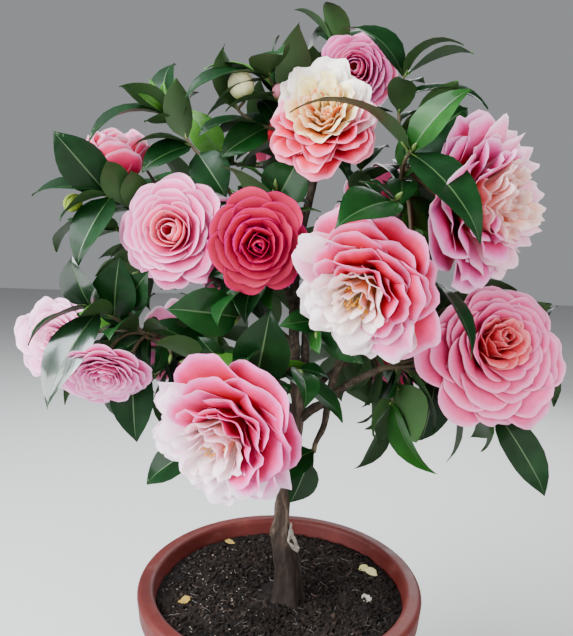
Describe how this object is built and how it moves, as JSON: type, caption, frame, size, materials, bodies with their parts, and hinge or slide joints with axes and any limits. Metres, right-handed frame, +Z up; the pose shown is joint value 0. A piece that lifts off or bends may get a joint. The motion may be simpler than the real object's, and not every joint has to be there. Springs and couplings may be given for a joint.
{
  "type": "camellia shrub",
  "caption": "Potted camellia shrub in full bloom: a slender grafted trunk, forked boughs, glossy oval leaves and large ruffled double blossoms over a round banded-rim pot.",
  "frame": {"origin": "centre of the pot's flat underside, on the surface that the pot stands on", "axes": "+Z up along the pot's axis; -Y is the front, with most of the blossom, and +X is to the right seen from the front"},
  "size_m": [0.518, 0.3632, 0.7802],
  "materials": {
    "pot": "satin, a little worn and dusty",
    "soil": "rough, dark and crumbly",
    "trunk_bark": "matt grey-brown bark",
    "bough_bark": "matt greenish-grey bark",
    "foliage": "glossy leaves with soft pink, white and crimson petals"
  },
  "bodies": {
    "root": {"pot": "pot", "soil": "soil", "trunk": "trunk_bark", "bough_top": "bough_bark", "bough_centre": "bough_bark", "bough_centre_left": "bough_bark", "bough_left_high": "bough_bark", "bough_left_low": "bough_bark", "bough_front_low": "bough_bark", "bough_right": "bough_bark", "bough_right_high": "bough_bark", "bough_spur": "bough_bark", "bough_back_top": "bough_bark", "bough_back_right": "bough_bark", "bough_back_left": "bough_bark", "bough_back_low": "bough_bark", "bough_back_side": "bough_bark", "foliage_top": "foliage", "foliage_centre": "foliage", "foliage_centre_left": "foliage", "foliage_left_high": "foliage", "foliage_left_low": "foliage", "foliage_front_low": "foliage", "foliage_right_low": "foliage", "foliage_right_high": "foliage", "foliage_spur": "foliage", "foliage_back_top": "foliage", "foliage_back_right": "foliage", "foliage_back_left": "foliage", "foliage_back_low": "foliage", "foliage_back_side": "foliage"}
  },
  "joints": []
}
